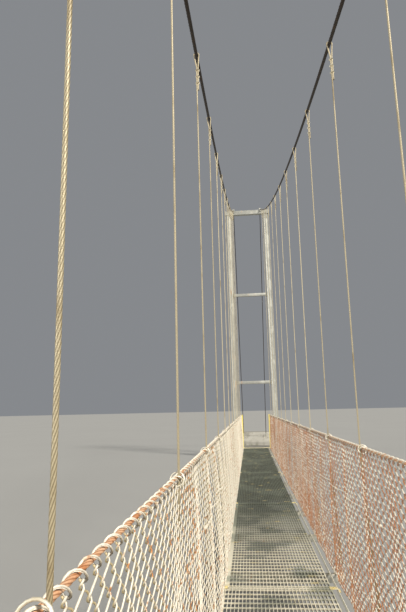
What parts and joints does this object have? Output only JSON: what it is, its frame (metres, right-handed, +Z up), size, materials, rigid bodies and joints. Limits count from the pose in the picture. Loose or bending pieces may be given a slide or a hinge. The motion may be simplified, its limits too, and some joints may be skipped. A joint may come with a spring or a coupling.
{
  "type": "rope suspension footbridge",
  "caption": "Narrow rope suspension footbridge with a steel grating walkway, woven wire sides, wire hangers, a low portal at one end and a tall tower at the other.",
  "frame": {"origin": "middle of the whole bridge, anchor block to anchor block, on the level ground it stands on", "axes": "+Z up, +Y along the walkway from the low portal towards the tall tower, +X to the right of someone walking that way"},
  "size_m": [2.2, 38.0648, 10.7279],
  "materials": {
    "concrete": "rough cast",
    "galvanised_steel": "dull galvanised",
    "dark_cable": "greased and weathered",
    "pale_rope": "galvanised strand",
    "rusty_cable": "rusty strand",
    "cream_net": "galvanised wire",
    "rusty_net": "rusty wire",
    "grating_steel": "weathered galvanised",
    "sunlit_steel": "weathered"
  },
  "bodies": {
    "root": {"left_main_cable": "dark_cable", "right_main_cable": "dark_cable", "cross_beam_and_hangers_01": "pale_rope", "cross_beam_and_hangers_02": "pale_rope", "cross_beam_and_hangers_03": "pale_rope", "cross_beam_and_hangers_04": "pale_rope", "cross_beam_and_hangers_05": "pale_rope", "cross_beam_and_hangers_06": "pale_rope", "cross_beam_and_hangers_07": "pale_rope", "cross_beam_and_hangers_08": "pale_rope", "cross_beam_and_hangers_09": "pale_rope", "cross_beam_and_hangers_10": "pale_rope", "cross_beam_and_hangers_11": "pale_rope", "cross_beam_and_hangers_12": "pale_rope", "cross_beam_and_hangers_13": "pale_rope", "cross_beam_and_hangers_14": "pale_rope", "cross_beam_and_hangers_15": "pale_rope", "cross_beam_and_hangers_16": "pale_rope", "grating_panel_1": "grating_steel", "grating_panel_2": "grating_steel", "grating_panel_3": "grating_steel", "grating_panel_4": "grating_steel", "grating_panel_5": "grating_steel", "grating_panel_6": "grating_steel", "grating_panel_7": "grating_steel", "left_deck_side_bar": "galvanised_steel", "right_deck_side_bar": "galvanised_steel", "left_side_net": "cream_net", "right_side_net": "rusty_net", "left_near_backstay": "dark_cable", "right_near_backstay": "dark_cable", "left_far_backstay": "dark_cable", "right_far_backstay": "dark_cable", "left_handrail_cable": "rusty_cable", "right_handrail_cable": "rusty_cable", "near_end_frame": "sunlit_steel", "far_end_frame": "sunlit_steel", "near_abutment": "concrete", "far_abutment": "concrete", "near_anchor_block": "concrete", "far_anchor_block": "concrete", "near_portal_left_column": "galvanised_steel", "near_portal_right_column": "galvanised_steel", "near_portal_top_beam": "galvanised_steel", "far_tower_left_column": "galvanised_steel", "far_tower_right_column": "galvanised_steel", "far_tower_top_beam": "galvanised_steel", "far_tower_lower_tie_beam": "galvanised_steel", "far_tower_middle_tie_beam": "galvanised_steel"}
  },
  "joints": []
}
